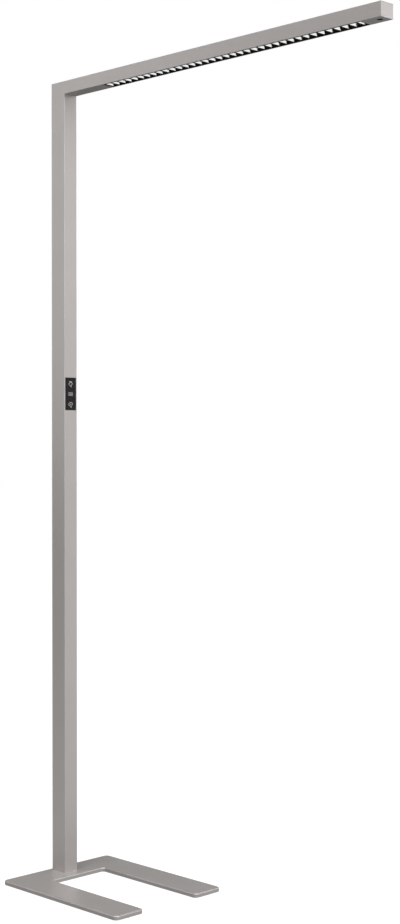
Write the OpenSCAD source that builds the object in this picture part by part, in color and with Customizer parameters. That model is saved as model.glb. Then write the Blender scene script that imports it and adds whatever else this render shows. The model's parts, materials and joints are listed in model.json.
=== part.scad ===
// Office floor lamp: a flat U-shaped foot, a slim column with a three-key panel,
// and a level arm that shines down through a louvre and up through a diffuser.
// Millimetres, +Z up, +X along the arm. The origin is where the column's axis meets the floor.

/* [Overall] */
// Height of the arm's top above the floor
total_height = 2000; // [1700:10:2200]
// Reach of the arm's tip from the column's axis
arm_reach = 1035; // [800:5:1300]

/* [Base plate] */
// Thickness of the steel plate
plate_thickness = 10; // [8:1:16]
// Width of the plate across the two legs
plate_width = 342; // [300:2:420]
// Distance from the column's axis to the plate's back edge
plate_back = 33; // [30:1:50]
// Distance from the column's axis to the ends of the legs
plate_front = 388; // [320:2:460]
// Width of the slot between the legs
slot_width = 168; // [120:2:200]
// Distance from the column's axis to the slot's closed end
slot_start = 53; // [45:1:80]
// Radius of the plate's outer corners
plate_corner = 12; // [5:1:20]
// Radius of the slot's inner corners and of the legs' inner tips
slot_corner = 10; // [5:1:20]
// Radius of the plate's upper edges
plate_edge = 3; // [0.5:0.5:4]
// Thickness of the glide pads
pad_thickness = 2; // [1.5:0.5:4]
// Diameter of the glide pads
pad_d = 24; // [16:1:26]

/* [Column] */
// Depth of the column along the arm's direction
column_depth = 50; // [46:1:60]
// Width of the column and of the arm
column_width = 40; // [40:1:50]
// Wall thickness of the column
column_wall = 2; // [1.8:0.1:2.5]
// Outer edge radius of the column and the arm
edge_radius = 0.8; // [0.4:0.1:1.5]
// Outer diameter of the screw ports in the column's corners
port_d = 9; // [8:0.5:10]
// Shank diameter of the screws that hold the base plate
base_screw_d = 4.2; // [3.6:0.2:4.8]
// Head diameter of the screws that hold the base plate
base_screw_head_d = 9; // [7.5:0.5:10]
// Length of the screws that hold the base plate
base_screw_length = 32; // [24:1:45]

/* [Arm] */
// Height of the arm
arm_height = 32; // [31:1:36]
// Wall thickness of the arm
arm_wall = 2; // [1.6:0.1:2.2]
// Width of the ledges inside the arm
ledge_width = 1.5; // [1:0.1:2]
// Thickness of the ledges inside the arm
ledge_thickness = 1.5; // [1:0.1:1.6]
// Thickness of the end cap's face
cap_thickness = 3; // [2:0.5:6]
// Length of the end cap's lugs
cap_lug_length = 8; // [6:0.5:9]
// Thickness of the end cap's lugs across the arm
cap_lug_width = 6; // [4:0.5:8]

/* [Corner bracket] */
// Length of the bracket's leg below the arm
bracket_down = 88; // [70:1:120]
// Reach of the bracket's leg in the arm
bracket_reach = 100; // [95:1:110]
// Height of the bracket's leg above the arm's floor
bracket_leg_height = 20; // [16:0.5:20.5]
// Diameter of the passage for the leads
bracket_bore_d = 14; // [12:0.5:15]
// Shank diameter of the bracket's screws
bracket_screw_d = 4; // [3.4:0.2:4.2]
// Length of the bracket's screws
bracket_screw_length = 15; // [12:1:16]
// Distance between the bracket's screws
bracket_screw_gap = 32; // [20:1:40]
// Diameter of the set screws
set_screw_d = 6; // [4:0.5:8]
// Length of the set screws
set_screw_length = 12; // [8:1:16]
// Distance between the set screws
set_screw_gap = 30; // [20:1:35]

/* [Louvre] */
// Distance from the column's axis to the louvre
louvre_start = 168; // [160:1:220]
// Distance from the louvre's far end to the arm's tip
louvre_end_gap = 58; // [54:1:100]
// Width of the arm's floor that stays beside the louvre
louvre_margin = 2.9; // [2.7:0.1:3.5]
// Depth of the louvre frame
louvre_depth = 10; // [8:0.5:10.2]
// Distance between the cross webs
cell_pitch = 22; // [18:0.5:30]
// Distance from the louvre's end to the first web's centre
first_web = 4.7; // [4.6:0.1:8]
// Width of the cross webs and of the blades' lower edge
web_width = 3.4; // [2:0.1:4]
// Thickness of the cross webs
web_thickness = 1.2; // [0.8:0.1:2]
// Width of the frame's side rails
rail_width = 2.5; // [2:0.1:4]
// Width of the blades' upper edge
blade_top = 16; // [10:0.5:17]
// Share of the blades' flare that is curved: 0 for straight sides, 1 for a whole parabola
blade_bow = 0.3; // [0:0.05:1]
// Thickness of the lips that hang the frame on the arm's floor
lip_thickness = 1.5; // [1:0.1:2]
// Thickness of the frame's end walls
louvre_end_wall = 0.9; // [0.6:0.1:0.9]

/* [Light boards] */
// Thickness of the gear tray
tray_thickness = 1.5; // [1:0.1:2]
// Height of the gear tray's underside above the arm's floor
tray_rise = 12; // [12:0.5:13]
// Distance from the column's axis to the near end of the gear tray
tray_start = 110; // [105:1:120]
// Distance from the gear tray's far end to the arm's tip
tray_end_gap = 40; // [36:1:45]
// Thickness of the light boards
board_thickness = 1.5; // [1:0.1:1.6]
// Width of the light boards
board_width = 24; // [16:1:24]
// Number of cells that one light board serves
cells_per_board = 12; // [6:1:12]
// Gap between two light boards in a row
board_gap = 0.4; // [0.2:0.1:1]
// Edge length of a light source
led_size = 3.5; // [2:0.1:5]
// Height of a light source
led_height = 1.2; // [0.6:0.1:1.2]
// Thickness of the diffuser
diffuser_thickness = 2; // [1.5:0.1:2.5]
// Width of the slot in the arm's top
diffuser_slot = 30; // [20:1:32]

/* [Arm terminal] */
// Distance from the column's axis to the terminal block
terminal_start = 125; // [122:1:128]
// Length of the terminal block
terminal_length = 30; // [20:1:32]
// Width of the terminal block
terminal_width = 16; // [12:1:20]
// Height of the terminal block
terminal_height = 11.5; // [9:0.5:12]

/* [Sensor] */
// Distance from the arm's tip to the sensor
sensor_from_tip = 18.5; // [18:0.5:22]
// Visible diameter of the sensor's bezel
sensor_d = 13; // [10:0.5:15]
// Diameter of the sensor's window
sensor_lens_d = 10; // [6:0.5:10.5]
// Thickness of the sensor's window
sensor_lens_thickness = 2; // [1:0.1:2.4]
// Height of the bezel above the arm's underside
sensor_height = 8; // [6:0.5:8.5]

/* [Control panel] */
// Height of the panel's centre above the floor
panel_z = 1218; // [1000:2:1300]
// Width of the panel
panel_width = 35; // [33:0.5:35]
// Height of the panel
panel_height = 82; // [80:0.5:90]
// Distance between the keys' centres
key_pitch = 26.5; // [26.5:0.1:27]
// Width of the keys
key_width = 29; // [24:0.5:29]
// Height of the keys
key_height = 25; // [18:0.5:25.2]
// Travel of the keys
key_travel = 0.8; // [0.3:0.1:0.9]
// Height of the keys above the fascia
key_proud = 0.3; // [0:0.1:0.8]
// Thickness of the flange that keeps a key behind the fascia
key_flange = 1; // [0.8:0.1:1.2]
// Depth of the panel housing behind the fascia
housing_depth = 15; // [14:0.5:16]
// Wall thickness of the panel housing
housing_wall = 1.2; // [1:0.1:1.4]
// Height of the posts that carry the control board
post_height = 2.5; // [2:0.1:3]
// Diameter of the posts that carry the control board
post_d = 5; // [4:0.5:6]
// Diameter of the control board's screws
board_screw_d = 1.8; // [1.4:0.1:2.2]
// Edge length of the switch bodies
switch_size = 6; // [5:0.5:7]
// Height of the switch bodies
switch_height = 3.5; // [3:0.1:3.8]
// Diameter of the switch plungers
plunger_d = 3.5; // [2.5:0.1:4]

/* [Driver] */
// Length of the light driver
driver_length = 280; // [200:5:360]
// Thickness of the light driver
driver_depth = 21; // [16:0.5:22]
// Width of the light driver
driver_width = 30; // [22:0.5:30]
// Height of the light driver's lower end above the base plate
driver_rise = 98; // [95:1:140]
// Thickness of the driver's tray
driver_tray_thickness = 1.5; // [1:0.1:2]
// Width of the driver's tray
driver_tray_width = 28; // [24:1:30]
// Length of the driver's mounting tabs
driver_tab = 10; // [8:0.5:11]
// Diameter of the driver's screws
driver_screw_d = 3; // [2:0.5:4]
// Shank diameter of the screws that hold the tray's foot
foot_screw_d = 4; // [3:0.5:5]
// Length of the screws that hold the tray's foot
foot_screw_length = 15; // [13:1:20]

/* [Mains inlet] */
// Height of the cord bush above the base plate
bush_rise = 33; // [26:1:36]
// Bore of the cord bush
bush_bore_d = 7.2; // [5:0.2:8]
// Diameter of the hole for the cord bush
bush_hole_d = 12; // [11:0.5:13]
// Diameter of the cord bush's outer flange
bush_flange_d = 16; // [14:0.5:17]
// Thickness of the cord bush's flanges
bush_flange = 1.5; // [1:0.1:2]
// Length of the mains terminal
mains_length = 28; // [20:1:32]
// Width of the mains terminal
mains_width = 22; // [18:1:26]
// Depth of the mains terminal
mains_depth = 15; // [12:1:18]
// Distance from the mains terminal to the driver
mains_gap = 26; // [22:1:28]

/* [Leads] */
// Diameter of the lead from the mains terminal to the driver
supply_lead_d = 5; // [3:0.5:6]
// Diameter of the lead from the driver to the arm
led_lead_d = 4; // [2:0.5:4]
// Diameter of the lead from the driver to the control panel
control_lead_d = 3; // [2:0.5:3]
// Diameter of the small leads in the arm
board_lead_d = 2; // [1:0.1:2]
// Bend radius of the lead in the corner
led_lead_bend = 12; // [10:1:12]

/* [Clearances] */
// Gap between pieces that are pushed together
fit_gap = 0.1; // [0.05:0.01:0.2]
// Gap around the moving keys
key_gap = 0.3; // [0.2:0.05:0.4]

/* [Hidden] */
$fn = 64;

// A cut reaches this far past the face that it opens
past = 1;

// Screws: heads, sockets and threads as shares of the shank's diameter
sunk_head = 2;
pan_head = 1.9;
pan_head_height = 0.6;
socket_width = 0.6;
socket_depth = 0.4;
// Thread that shows behind a thin sheet
thread_reach = 2;

// Base plate and column
plate_top = pad_thickness + plate_thickness;
leg_y = (plate_width + slot_width) / 4;
pad_edge = 4;
pad_inset = pad_d / 2 + pad_edge;
column_x = column_depth / 2;
column_y = column_width / 2;
inner_x = column_x - column_wall;
inner_y = column_y - column_wall;
port_root = 0.5;
port_x = inner_x - port_d / 2 + port_root;
port_y = inner_y - port_d / 2 + port_root;
port_edge_x = port_x - port_d / 2;
port_edge_y = port_y - port_d / 2;
port_bore_d = base_screw_d + 2 * fit_gap;

// Arm
arm_bottom = total_height - arm_height;
arm_floor = arm_bottom + arm_wall;
arm_ceiling = total_height - arm_wall;
arm_inner_y = column_y - arm_wall;
arm_end = arm_reach - cap_thickness;
ledge_y = arm_inner_y - ledge_width;
mitre_slope = arm_height / column_depth;
// The last set screw's distance from the end of the bracket's leg
set_screw_inset = 15;
louvre_end = arm_reach - louvre_end_gap;

// Stack of boards in the arm
tray_bottom = arm_floor + tray_rise;
tray_top = tray_bottom + tray_thickness;
tray_end = arm_reach - tray_end_gap;
down_board_bottom = tray_bottom - board_thickness;
up_board_top = tray_top + board_thickness;
diffuser_bottom = arm_ceiling - diffuser_thickness;
diffuser_lap = 20;
keeper_width = 1;
keeper_thickness = 1;

// Louvre
rail_outer = column_y - louvre_margin - fit_gap;
rail_inner = rail_outer - rail_width;
louvre_top = arm_bottom + louvre_depth;
blade_bottom = arm_bottom + web_thickness;
web_origin = louvre_start + first_web;
blade_room = louvre_end - web_origin - blade_top / 2 - louvre_end_wall - fit_gap;
cell_count = floor(blade_room / cell_pitch);
blade_count = cell_count + 1;
board_count = ceil(cell_count / cells_per_board);
board_pitch = cells_per_board * cell_pitch;

// Sensor
sensor_x = arm_reach - sensor_from_tip;
sensor_top = arm_bottom + sensor_height;
sensor_body_d = sensor_d + 2;
sensor_flange_d = sensor_d + 4;
sensor_flange = 1.5;
lens_recess = 0.4;
lens_seat = 0.75;
sensor_board_length = 18;
sensor_board_shift = 2.5;
sensor_board_top = sensor_top + board_thickness;

// Panel, with depths counted from the column's front face
front_x = column_x;
wall_x = front_x - column_wall;
housing_back = wall_x - housing_depth;
housing_y = panel_width / 2 - 2 * fit_gap;
housing_z = panel_height / 2 - fit_gap;
housing_floor = housing_back + housing_wall;
control_board_back = housing_floor + post_height;
control_board_front = control_board_back + board_thickness;
switch_front = control_board_front + switch_height;
plunger_length = 2.55;
plunger_rest = 0.35;
plunger_front = switch_front + key_travel + plunger_rest;
key_flange_front = wall_x - fit_gap;
key_flange_back = key_flange_front - key_flange;
key_overhang = 1.3;
key_flange_y = key_width / 2 + key_overhang;
key_stem_d = plunger_d - 0.5;
post_inset = 5;
post_y = 13;
post_z = panel_height / 2 - post_inset;
key_zs = [panel_z + key_pitch, panel_z, panel_z - key_pitch];

// Driver and mains parts
driver_tab_thickness = 1.5;
driver_pole_gap = 5.5;
driver_entry_d = 2.5;
driver_entry_inset = 4;
driver_entry_depth = 9;
driver_slot_width = 2.5;
driver_slot_length = 4;
driver_slot_depth = 1.5;
driver_slot_inset = 7;
driver_tab_half = 6;
tray_over = 10;
tray_face_x = -9;
tray_back_x = tray_face_x - driver_tray_thickness;
driver_bottom = plate_top + driver_rise;
driver_top = driver_bottom + driver_length;
mains_top = driver_bottom - mains_gap;
bush_z = plate_top + bush_rise;
foot_screw_x = 4;
foot_screw_y = 5;
foot_gap = 1;
cord_passage_d = bush_bore_d + 3;
earth_screw_y = 10.5;
earth_screw_drop = 3;

// Routes of the leads that the lamp holds inside
lead_clear = 1;
corner_lead_z = arm_floor + bracket_leg_height + led_lead_d / 2 + lead_clear;
control_lead_x = -2;
control_lead_y = -8;
control_lead_z = panel_z - 14;
control_lead_bend = 8;
tray_lead_z = tray_top + board_lead_d / 2;
board_lead_z = up_board_top + board_lead_d / 2;
under_lead_z = down_board_bottom - board_lead_d / 2;
side_lead_y = board_width / 2 + board_lead_d + 0.5;
led_route = [[0, 0, driver_top], [0, 0, corner_lead_z], [terminal_start, 0, corner_lead_z]];
control_route = [
    [control_lead_x, control_lead_y, driver_top],
    [control_lead_x, control_lead_y, control_lead_z],
    [control_board_back, control_lead_y, control_lead_z]
];
terminal_end = terminal_start + terminal_length;
sensor_lead_x = terminal_end - 6;
sensor_lead_end = sensor_x - 7;
sensor_lead_bend = 3;
sensor_route = [
    [sensor_lead_x, terminal_width / 2, tray_lead_z],
    [sensor_lead_x, side_lead_y, tray_lead_z],
    [sensor_lead_end, side_lead_y, tray_lead_z],
    [sensor_lead_end, side_lead_y, sensor_board_top]
];
// The lead to the lower boards drops through a hole in the tray
drop_x = terminal_end + 6;
drop_y = -5;
drop_bend = 2;
board_lead_end = web_origin + 4;
down_lead_route = [
    [terminal_end, drop_y, board_lead_z],
    [drop_x, drop_y, board_lead_z],
    [drop_x, drop_y, under_lead_z],
    [board_lead_end, drop_y, under_lead_z]
];

// Colours as the photograph shows them
coat = [0.66, 0.64, 0.63];
black = [0.10, 0.10, 0.10];
bright = [0.90, 0.90, 0.90];

/* ---------- shared shapes ---------- */

// A box between two opposite corners
module block(low, high) {
    translate(low) cube(high - low);
}

// A rectangle with round corners, centred
module rounded_rectangle(size, radius) {
    square([size.x - 2 * radius, size.y], center = true);
    square([size.x, size.y - 2 * radius], center = true);
    for (sx = [-1, 1], sy = [-1, 1]) {
        translate([sx * (size.x / 2 - radius), sy * (size.y / 2 - radius)]) circle(radius);
    }
}

// An outline in Y and Z, drawn out along X
module along_x(from, to) {
    translate([from, 0, 0]) rotate([90, 0, 90]) linear_extrude(height = to - from) children();
}

// An outline in X and Z, drawn out along Y about the middle
module across_y(width) {
    rotate([90, 0, 0]) linear_extrude(height = width, center = true) children();
}

// A cylinder along +X
module x_cylinder(d, from, to, y = 0, z = 0) {
    translate([from, y, z]) rotate([0, 90, 0]) cylinder(d = d, h = to - from);
}

// A countersunk screw along +Z with its head's face at z = 0
module countersunk_screw(shank_d, head_d, length) {
    difference() {
        union() {
            cylinder(d1 = head_d, d2 = shank_d, h = (head_d - shank_d) / 2);
            cylinder(d = shank_d, h = length);
        }
        translate([0, 0, -past]) {
            cylinder(d = shank_d * socket_width, h = past + shank_d * socket_depth, $fn = 6);
        }
    }
}

// The hole for such a screw, through a wall of the given thickness
module countersunk_hole(shank_d, head_d, wall) {
    hole_d = shank_d + 4 * fit_gap;
    sunk_d = head_d + 2 * fit_gap;
    cylinder(d1 = sunk_d, d2 = hole_d, h = (sunk_d - hole_d) / 2);
    translate([0, 0, -past]) cylinder(d = sunk_d, h = past);
    cylinder(d = hole_d, h = wall + past);
}

// A pan-head screw along -X with its head's seat at x = 0
module pan_screw(shank_d, length) {
    head_height = shank_d * pan_head_height;
    difference() {
        union() {
            x_cylinder(shank_d * pan_head, 0, head_height);
            x_cylinder(shank_d, -length, 0);
        }
        translate([head_height / 2, 0, 0]) rotate([0, 90, 0]) {
            cylinder(d = shank_d, h = past + head_height, $fn = 6);
        }
    }
}

// A round lead along a route whose legs meet at right angles
module lead(route, d, bend) {
    last = len(route) - 1;
    for (i = [0 : last - 1]) {
        run = route[i + 1] - route[i];
        way = run / norm(run);
        from = i == 0 ? route[i] : route[i] + bend * way;
        to = i == last - 1 ? route[i + 1] : route[i + 1] - bend * way;
        lead_leg(from, to, way, d);
    }
    for (i = [1 : 1 : last - 1]) {
        into = (route[i] - route[i - 1]) / norm(route[i] - route[i - 1]);
        out = (route[i + 1] - route[i]) / norm(route[i + 1] - route[i]);
        lead_bend(route[i] - bend * into + bend * out, into, out, d, bend);
    }
}

module lead_leg(from, to, way, d) {
    tilt = acos(way.z);
    turn = atan2(way.y, way.x);
    translate(from) rotate([0, tilt, turn]) cylinder(d = d, h = norm(to - from), $fn = 24);
}

module lead_bend(centre, into, out, d, bend) {
    side = cross(into, out);
    frame = [
        [-out.x, into.x, side.x, centre.x],
        [-out.y, into.y, side.y, centre.y],
        [-out.z, into.z, side.z, centre.z],
        [0, 0, 0, 1]
    ];
    multmatrix(frame) rotate_extrude(angle = 90, $fn = 48) translate([bend, 0]) circle(d = d, $fn = 24);
}

/* ---------- foot ---------- */

module base_plate() {
    length = plate_front + plate_back;
    slot_length = plate_front - slot_start;
    color(coat) difference() {
        translate([0, 0, pad_thickness]) linear_extrude(height = plate_thickness) difference() {
            translate([plate_front - length / 2, 0]) rounded_rectangle([length, plate_width], plate_corner);
            translate([plate_front, 0]) rounded_rectangle([2 * slot_length, slot_width], slot_corner);
            for (side = [-1, 1]) leg_tip_round(side);
        }
        translate([0, 0, plate_top]) plate_edge_rounds();
        base_screw_places() countersunk_hole(base_screw_d, base_screw_head_d, plate_thickness);
        foot_screw_places() countersunk_hole(foot_screw_d, sunk_head * foot_screw_d, plate_thickness);
    }
}

// What the round on a leg's inner tip takes away
module leg_tip_round(side) {
    tip = [plate_front - slot_corner, side * (slot_width / 2 + slot_corner)];
    difference() {
        translate([tip.x, side * slot_width / 2 - (side < 0 ? slot_corner : 0)]) {
            square([slot_corner + past, slot_corner]);
        }
        translate(tip) circle(slot_corner);
    }
}

// What the rounded upper edges of the plate take away, with z = 0 at its top
module plate_edge_rounds() {
    side_y = plate_width / 2;
    slot_y = slot_width / 2;
    edge_round([-plate_back, side_y - plate_corner], [-plate_back, -side_y + plate_corner]);
    edge_round([slot_start, -slot_y + slot_corner], [slot_start, slot_y - slot_corner]);
    for (flip = [0, 1]) mirror([0, flip, 0]) {
        edge_round([plate_front - plate_corner, side_y], [-plate_back + plate_corner, side_y]);
        edge_round([slot_start + slot_corner, slot_y], [plate_front - slot_corner, slot_y]);
        edge_round([plate_front, slot_y + slot_corner], [plate_front, side_y - plate_corner]);
        corner_round([-plate_back + plate_corner, side_y - plate_corner], 90, plate_corner, -1);
        corner_round([plate_front - plate_corner, side_y - plate_corner], 0, plate_corner, -1);
        corner_round([plate_front - slot_corner, slot_y + slot_corner], -90, slot_corner, -1);
        corner_round([slot_start + slot_corner, slot_y - slot_corner], 90, slot_corner, 1);
    }
}

// Section of the groove that rounds an edge at x = 0: the plate is towards x = inward
module edge_groove(inward) {
    low_x = inward > 0 ? -past : -plate_edge;
    difference() {
        translate([low_x, -plate_edge]) square([plate_edge + past, plate_edge + past]);
        translate([inward * plate_edge, -plate_edge]) circle(plate_edge);
    }
}

// Rounds a straight edge with the plate on its left
module edge_round(from, to) {
    run = to - from;
    translate([from.x, from.y, 0]) rotate([0, 0, atan2(run.y, run.x)]) rotate([90, 0, 90]) {
        linear_extrude(height = norm(run)) edge_groove(1);
    }
}

// Rounds a quarter of a corner: inward is -1 on an outer corner and 1 on an inner one
module corner_round(centre, start, radius, inward) {
    translate([centre.x, centre.y, 0]) rotate([0, 0, start]) {
        rotate_extrude(angle = 90) translate([radius, 0]) edge_groove(inward);
    }
}

module base_screw_places() {
    for (sx = [-1, 1], sy = [-1, 1]) {
        translate([sx * port_x, sy * port_y, pad_thickness]) children();
    }
}

module foot_screw_places() {
    for (sy = [-1, 1]) translate([foot_screw_x, sy * foot_screw_y, pad_thickness]) children();
}

module glide_pads() {
    back = [-plate_back + pad_inset, plate_width / 2 - pad_inset];
    middle = [plate_front / 2, leg_y];
    front = [plate_front - pad_inset, leg_y];
    color(black) {
        cylinder(d = pad_d, h = pad_thickness);
        for (place = [back, middle, front], side = [-1, 1]) {
            translate([place.x, side * place.y, 0]) cylinder(d = pad_d, h = pad_thickness);
        }
    }
}

module base_screws() {
    color(bright) base_screw_places() countersunk_screw(base_screw_d, base_screw_head_d, base_screw_length);
}

/* ---------- column ---------- */

module column_outline() {
    difference() {
        union() {
            difference() {
                rounded_rectangle([column_depth, column_width], edge_radius);
                square([2 * inner_x, 2 * inner_y], center = true);
            }
            for (sx = [-1, 1], sy = [-1, 1]) translate([sx * port_x, sy * port_y]) circle(d = port_d);
        }
        for (sx = [-1, 1], sy = [-1, 1]) translate([sx * port_x, sy * port_y]) circle(d = port_bore_d);
    }
}

// Side view of the column, cut off along the mitre
module column_side() {
    reach = column_x + past;
    polygon([
        [-reach, plate_top - past],
        [reach, plate_top - past],
        [reach, arm_bottom - past * mitre_slope],
        [-reach, total_height + past * mitre_slope]
    ]);
}

module column_profile() {
    window_y = panel_width / 2 + fit_gap;
    window_z = panel_height / 2 + fit_gap;
    color(coat) difference() {
        intersection() {
            translate([0, 0, plate_top]) linear_extrude(height = total_height - plate_top) column_outline();
            across_y(column_width + 2 * past) column_side();
        }
        block([wall_x - past, -window_y, panel_z - window_z], [front_x + past, window_y, panel_z + window_z]);
        block([housing_back - fit_gap, -inner_y, panel_z - window_z], [wall_x, inner_y, panel_z + window_z]);
        x_cylinder(bush_hole_d, -column_x - past, -inner_x + past, 0, bush_z);
        bracket_screw_places() countersunk_hole(bracket_screw_d, sunk_head * bracket_screw_d, column_wall);
    }
}

/* ---------- corner ---------- */

module bracket_screw_places() {
    middle = arm_bottom - bracket_down / 2;
    for (side = [-1, 1]) {
        translate([-column_x, 0, middle + side * bracket_screw_gap / 2]) rotate([0, 90, 0]) children();
    }
}

module set_screw_places() {
    for (side = [0, 1]) {
        translate([bracket_reach - set_screw_inset - side * set_screw_gap, 0, arm_floor + fit_gap / 2]) {
            children();
        }
    }
}

module corner_bracket() {
    low = arm_bottom - bracket_down;
    shoulder = arm_bottom - past;
    leg_top = arm_floor + bracket_leg_height;
    leg_foot = arm_floor + fit_gap / 2;
    over_ports = total_height - mitre_slope * (column_x + port_edge_x) + 2 * fit_gap;
    mouth = 5;
    mouth_d = bracket_bore_d + 1.4 * mouth;
    web_y = port_edge_y - fit_gap;
    web_x = port_edge_x - 2 * fit_gap;
    side_y = ledge_y - 2 * fit_gap;
    color(bright) difference() {
        union() {
            block([-web_x, -inner_y + fit_gap, low], [web_x, inner_y - fit_gap, shoulder]);
            block([-inner_x + fit_gap, -web_y, low], [inner_x - fit_gap, web_y, shoulder]);
            block([-web_x, -side_y, shoulder], [web_x, side_y, leg_top]);
            block([-web_x, -side_y, over_ports], [bracket_reach, side_y, leg_top]);
            block([column_x + past, -side_y, leg_foot], [bracket_reach, side_y, leg_top]);
        }
        translate([0, 0, low - past]) cylinder(d = bracket_bore_d, h = leg_top - low + 2 * past);
        translate([0, 0, leg_top - mouth]) cylinder(d1 = bracket_bore_d, d2 = mouth_d, h = mouth + fit_gap);
        translate([0, 0, -past]) set_screw_places() {
            cylinder(d = set_screw_d + 2 * fit_gap, h = bracket_leg_height + 2 * past);
        }
        bracket_screw_places() {
            cylinder(d = bracket_screw_d + 2 * fit_gap, h = bracket_screw_length + 2 * fit_gap);
        }
    }
}

module bracket_screws() {
    color(bright) bracket_screw_places() {
        countersunk_screw(bracket_screw_d, sunk_head * bracket_screw_d, bracket_screw_length);
    }
}

module bracket_set_screws() {
    socket = set_screw_length / 3;
    color(black) set_screw_places() difference() {
        cylinder(d = set_screw_d, h = set_screw_length);
        translate([0, 0, set_screw_length - socket]) {
            cylinder(d = set_screw_d / 2, h = socket + past, $fn = 6);
        }
    }
}

/* ---------- arm ---------- */

// Section of the arm in Y and Z with its ledges
module arm_outline() {
    difference() {
        translate([0, total_height - arm_height / 2]) {
            rounded_rectangle([column_width, arm_height], edge_radius);
        }
        translate([-arm_inner_y, arm_floor]) square([2 * arm_inner_y, arm_ceiling - arm_floor]);
    }
    for (side = [-1, 1]) {
        ledge(side, tray_bottom - ledge_thickness, ledge_width, ledge_thickness);
        ledge(side, tray_top + fit_gap, keeper_width, keeper_thickness);
        ledge(side, diffuser_bottom - fit_gap - ledge_thickness, ledge_width, ledge_thickness);
    }
}

module ledge(side, z, width, thickness) {
    root = 0.5;
    y = side > 0 ? arm_inner_y - width : -arm_inner_y - root;
    translate([y, z]) square([width + root, thickness]);
}

// Side view of the arm, cut off along the mitre
module arm_side() {
    reach = column_x + past;
    low = arm_bottom - past * mitre_slope;
    polygon([
        [-reach, total_height + past * mitre_slope],
        [reach, low],
        [arm_end + past, low],
        [arm_end + past, total_height + past],
        [-reach, total_height + past]
    ]);
}

module arm_profile() {
    opening_y = column_y - louvre_margin;
    color(coat) difference() {
        intersection() {
            along_x(-column_x, arm_end) arm_outline();
            across_y(column_width + 2 * past) arm_side();
        }
        block([louvre_start, -opening_y, arm_bottom - past], [louvre_end, opening_y, arm_floor + past]);
        block(
            [louvre_start, -diffuser_slot / 2, arm_ceiling - past],
            [louvre_end, diffuser_slot / 2, total_height + past]
        );
        translate([sensor_x, 0, arm_bottom - past]) {
            cylinder(d = sensor_d + 2 * fit_gap, h = arm_wall + 2 * past);
        }
    }
}

module end_cap() {
    lug_y = arm_inner_y - fit_gap;
    middle_y = ledge_y - fit_gap;
    color(coat) {
        along_x(arm_end, arm_reach) {
            translate([0, total_height - arm_height / 2]) {
                rounded_rectangle([column_width, arm_height], edge_radius);
            }
        }
        for (side = [-1, 1]) {
            cap_lug(side, lug_y, arm_floor + fit_gap, tray_bottom - ledge_thickness - fit_gap);
            cap_lug(
                side, middle_y,
                tray_top + keeper_thickness + 2 * fit_gap,
                diffuser_bottom - ledge_thickness - 2 * fit_gap
            );
        }
    }
}

module cap_lug(side, outer_y, low, high) {
    inner_edge = outer_y - cap_lug_width;
    y = side > 0 ? inner_edge : -outer_y;
    translate([arm_end - cap_lug_length, y, low]) cube([cap_lug_length + past, cap_lug_width, high - low]);
}

/* ---------- louvre ---------- */

module louvre_frame() {
    low_x = louvre_start + fit_gap;
    high_x = louvre_end - fit_gap;
    lip_y = arm_inner_y - fit_gap;
    first_web_edge = web_origin + web_width / 2;
    color(black) {
        for (side = [-1, 1]) {
            rail_y = side > 0 ? rail_inner : -rail_outer;
            block([low_x, rail_y, arm_bottom], [high_x, rail_y + rail_width, louvre_top]);
            lip_start = side > 0 ? rail_outer - past : -lip_y;
            block(
                [low_x, lip_start, arm_floor],
                [high_x, lip_start + lip_y - rail_outer + past, arm_floor + lip_thickness]
            );
        }
        for (x = [low_x, high_x - louvre_end_wall]) {
            block([x, -rail_inner - past, arm_bottom], [x + louvre_end_wall, rail_inner + past, louvre_top]);
        }
        block(
            [low_x, -rail_inner - past, arm_bottom],
            [first_web_edge, rail_inner + past, arm_bottom + web_thickness]
        );
        for (i = [1 : blade_count - 1]) {
            x = web_origin + i * cell_pitch - web_width / 2;
            block(
                [x, -rail_inner - past, arm_bottom],
                [x + web_width, rail_inner + past, arm_bottom + web_thickness]
            );
        }
    }
}

// Half the width of a blade at a share of its height: its sides bow out towards the top
function blade_half(share) =
    web_width / 2 + (blade_top - web_width) / 2 * share * (1 - blade_bow + blade_bow * share);

// Section of a blade in X and Z, about its own middle
module blade_section() {
    height = louvre_top - blade_bottom;
    steps = 10;
    right = [for (i = [0 : steps]) [blade_half(i / steps), blade_bottom + height * i / steps]];
    left = [for (i = [steps : -1 : 0]) [-blade_half(i / steps), blade_bottom + height * i / steps]];
    polygon(concat(right, left));
}

// The first and the last blade end at the frame's end walls
module louvre_blades() {
    first_x = louvre_start + louvre_end_wall + 2 * fit_gap;
    last_x = louvre_end - louvre_end_wall - 2 * fit_gap;
    color(bright) for (i = [0 : blade_count - 1]) {
        across_y(2 * (rail_inner - fit_gap)) intersection() {
            translate([web_origin + i * cell_pitch, 0]) blade_section();
            translate([first_x, blade_bottom - past]) square([last_x - first_x, louvre_depth + 2 * past]);
        }
    }
}

/* ---------- light boards ---------- */

module gear_tray() {
    tray_y = arm_inner_y - fit_gap;
    color(bright) difference() {
        block([tray_start, -tray_y, tray_bottom], [tray_end, tray_y, tray_top]);
        translate([drop_x, drop_y, tray_bottom - past]) {
            cylinder(d = board_lead_d + 2, h = tray_thickness + 2 * past);
        }
    }
}

// A row of boards over all the cells, the last one cut to what is left
module light_boards(low) {
    for (i = [0 : board_count - 1]) {
        cells = min(cells_per_board, cell_count - i * cells_per_board);
        x = web_origin + i * board_pitch;
        length = cells * cell_pitch - board_gap;
        block([x, -board_width / 2, low], [x + length, board_width / 2, low + board_thickness]);
    }
}

module light_sources(low) {
    for (i = [0 : cell_count - 1]) {
        x = web_origin + (i + 0.5) * cell_pitch;
        translate([x - led_size / 2, -led_size / 2, low]) cube([led_size, led_size, led_height]);
    }
}

module downlight_boards() {
    color("white") light_boards(down_board_bottom);
}

module downlight_leds() {
    color("gold") light_sources(down_board_bottom - led_height);
}

module uplight_boards() {
    color("white") light_boards(tray_top);
}

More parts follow.
